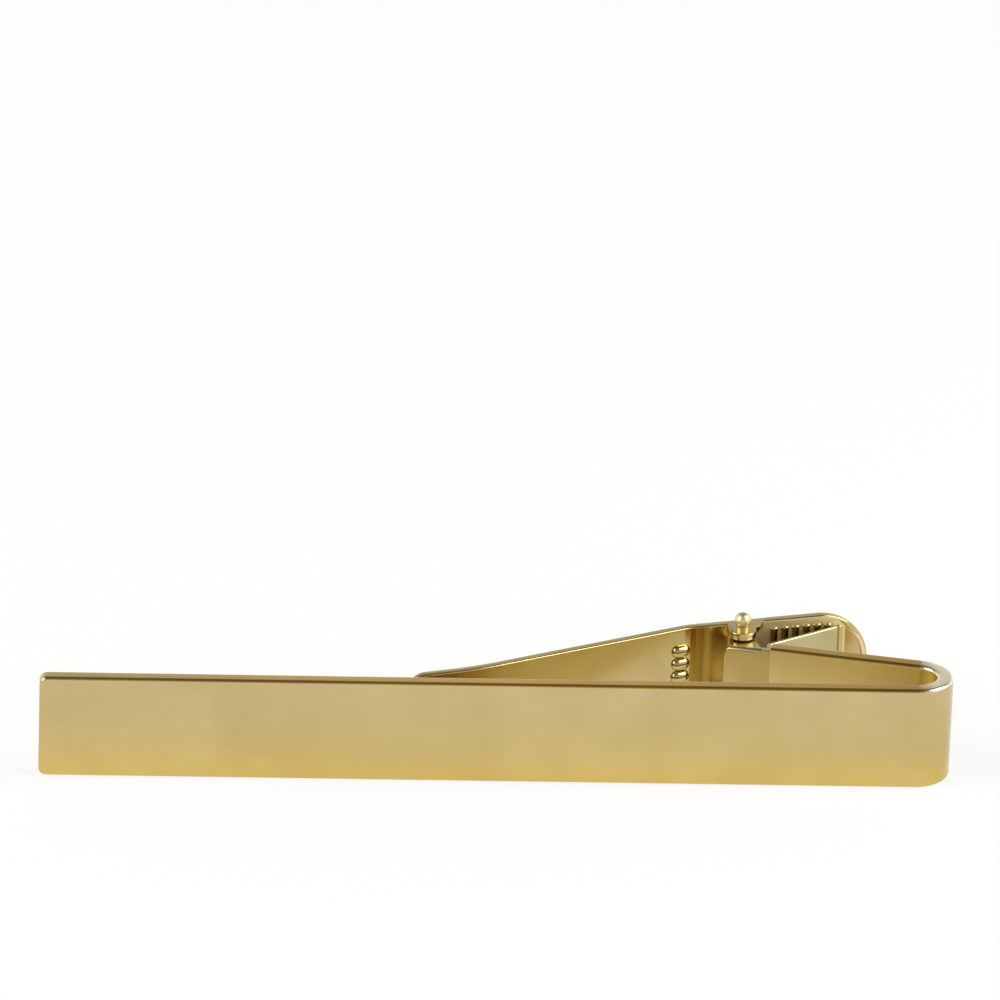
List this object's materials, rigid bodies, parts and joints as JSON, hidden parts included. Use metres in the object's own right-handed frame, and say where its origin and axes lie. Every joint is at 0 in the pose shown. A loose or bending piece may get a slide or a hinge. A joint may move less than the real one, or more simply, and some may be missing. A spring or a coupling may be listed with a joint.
{
  "type": "tie clip",
  "caption": "Folded metal tie clip with a sprung alligator clasp, a toothed arm and a ribbed thumb pad on its back limb.",
  "frame": {"origin": "middle of the foot of the whole clip as it stands on the strip's lower edge: half its length, half its depth, at the height of the lower edge", "axes": "+X runs along the bar from the open end to the fold, the front face looks along -Y, +Z runs across the width of the strip, up as it stands"},
  "size_m": [0.06, 0.013, 0.0082],
  "materials": {
    "bar_gold": "gold plated, polished with a soft satin face",
    "plate_gold": "gold plated, polished",
    "lever_gold": "gold plated, polished",
    "pin_gold": "gold plated, polished",
    "spring_gold": "gold plated spring steel, bright"
  },
  "bodies": {
    "bar_body": {"tie_bar": "bar_gold", "hinge_plate": "plate_gold", "hinge_pin": "pin_gold", "leaf_spring": "spring_gold"},
    "lever_body": {"clasp_lever": "lever_gold"}
  },
  "joints": [
    {"name": "clasp_hinge", "type": "hinge", "parent": "bar_body", "child": "lever_body", "pos_m": [0.01647, 0.0029, 0.00355], "axis": [0, 0, -1], "range_deg": [0, 18], "stiffness_Nm_per_rad": 0.02, "springref_deg": -45.84, "deforming": ["leaf_spring"]}
  ]
}
